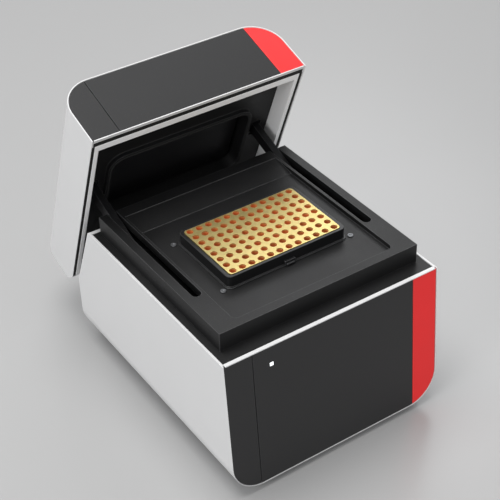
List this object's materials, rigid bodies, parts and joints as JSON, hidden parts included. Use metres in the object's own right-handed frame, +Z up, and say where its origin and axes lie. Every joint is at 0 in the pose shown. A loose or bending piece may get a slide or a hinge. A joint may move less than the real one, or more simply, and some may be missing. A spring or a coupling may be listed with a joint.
{
  "type": "thermal cycler",
  "caption": "Bench thermal cycler with a gold well block, a motor-driven lifting and swinging lid with a heated plate, a cooling fan and rear mains inlet.",
  "frame": {"origin": "on the surface it stands on, under the middle of the whole object with its lid open", "axes": "+X to the right seen from the front, +Y from the front face to the back, +Z up"},
  "size_m": [0.2076, 0.3266, 0.2614],
  "materials": {
    "light_shell": "satin light grey paint",
    "rim_white": "satin white moulding",
    "dark_panel": "satin dark grey moulding",
    "lid_dark_panel": "satin dark grey moulding",
    "red_panel": "satin red moulding",
    "light_pipe": "clear white light pipe",
    "deck_black": "fine grained black moulding",
    "frame_black": "black moulding",
    "anodised_black": "black anodised",
    "gold": "gold plated, fine matt",
    "screw_steel": "plated steel",
    "rubber": "matt black",
    "sheet_steel": "zinc plated sheet",
    "cast_aluminium": "machined",
    "alumina": "matt white ceramic",
    "graphite": "soft graphite sheet",
    "board_green": "solder mask",
    "port_steel": "pressed steel",
    "ground_steel": "ground steel",
    "bronze": "sintered bronze",
    "motor_steel": "dark coated motor can",
    "heater_film": "amber film"
  },
  "bodies": {
    "base": {"body_shell": "light_shell", "base_plate": "sheet_steel", "feet": "rubber", "foot_screws": "screw_steel", "front_frame": "light_shell", "front_panel": "dark_panel", "front_left_panel": "dark_panel", "front_red_panel": "red_panel", "status_light": "light_pipe", "rear_panel": "light_shell", "deck_ledge": "deck_black", "deck_cover": "deck_black", "deck_screws": "screw_steel", "block_frame": "frame_black", "block_clip": "frame_black", "sample_block": "gold", "peltier_modules": "alumina", "thermal_pads": "graphite", "heat_sink": "cast_aluminium", "fan_frame": "frame_black", "fan_guard": "sheet_steel", "control_board": "board_green", "driver_board": "board_green", "power_supply": "sheet_steel", "mains_inlet": "frame_black", "fuse_drawer": "frame_black", "switch_housing": "frame_black", "data_ports": "port_steel", "guide_rods": "ground_steel", "lift_motor": "motor_steel", "lift_bracket": "sheet_steel"},
    "carriage": {"lift_carriage": "cast_aluminium", "carriage_bushes": "bronze", "lift_rack": "ground_steel", "swing_motor": "motor_steel"},
    "lid": {"swing_gear": "ground_steel", "hinge_shaft": "ground_steel", "lid_arm_left": "anodised_black", "lid_arm_right": "anodised_black", "arm_screws": "screw_steel", "lid_bridge": "sheet_steel", "lid_cover": "light_shell", "lid_front_frame": "light_shell", "lid_front_panel": "lid_dark_panel", "lid_left_panel": "lid_dark_panel", "lid_red_panel": "red_panel", "lid_rear_panel": "light_shell", "lid_rear_screws": "screw_steel", "lid_rim_frame": "rim_white", "lid_gasket": "rubber", "lid_liner": "deck_black", "block_seal": "rubber"},
    "plate": {"heated_plate": "anodised_black", "heater_mat": "heater_film", "plate_pins": "ground_steel", "plate_springs": "ground_steel"},
    "swing_pinion": {"swing_pinion": "bronze"},
    "lift_pinion": {"lift_pinion": "bronze"},
    "fan": {"fan_rotor": "frame_black"},
    "rocker": {"power_rocker": "red_panel"}
  },
  "joints": [
    {"name": "lid_lift", "type": "slide", "parent": "base", "child": "carriage", "axis": [0, 0, 1], "range_m": [-0.02, 0]},
    {"name": "lid_swing", "type": "hinge", "parent": "carriage", "child": "lid", "pos_m": [0, -0.00078, 0.0665], "axis": [1, 0, 0], "range_deg": [0, 68.2]},
    {"name": "plate_float", "type": "slide", "parent": "lid", "child": "plate", "axis": [0, 0.9285, 0.3714], "range_m": [0, 0.004], "stiffness_N_per_m": 2500, "springref_m": -0.003},
    {"name": "swing_pinion_spin", "type": "hinge", "parent": "carriage", "child": "swing_pinion", "pos_m": [0.071, -0.00078, 0.04635], "axis": [1, 0, 0], "range_deg": [-160, 0]},
    {"name": "lift_pinion_spin", "type": "hinge", "parent": "base", "child": "lift_pinion", "pos_m": [0.044, 0.04637, 0.052], "axis": [1, 0, 0], "range_deg": [0, 192]},
    {"name": "fan_spin", "type": "hinge", "parent": "base", "child": "fan", "pos_m": [0, -0.05418, 0.063], "axis": [0, 0, 1], "continuous": true},
    {"name": "power_rock", "type": "hinge", "parent": "base", "child": "rocker", "pos_m": [0.049, 0.08502, 0.038], "axis": [1, 0, 0], "range_deg": [0, 14]}
  ],
  "couplings": [
    {"joint": "swing_pinion_spin", "follows": "lid_swing", "ratio": -2.3333},
    {"joint": "lift_pinion_spin", "follows": "lid_lift", "rad_per_m": -166.67}
  ]
}
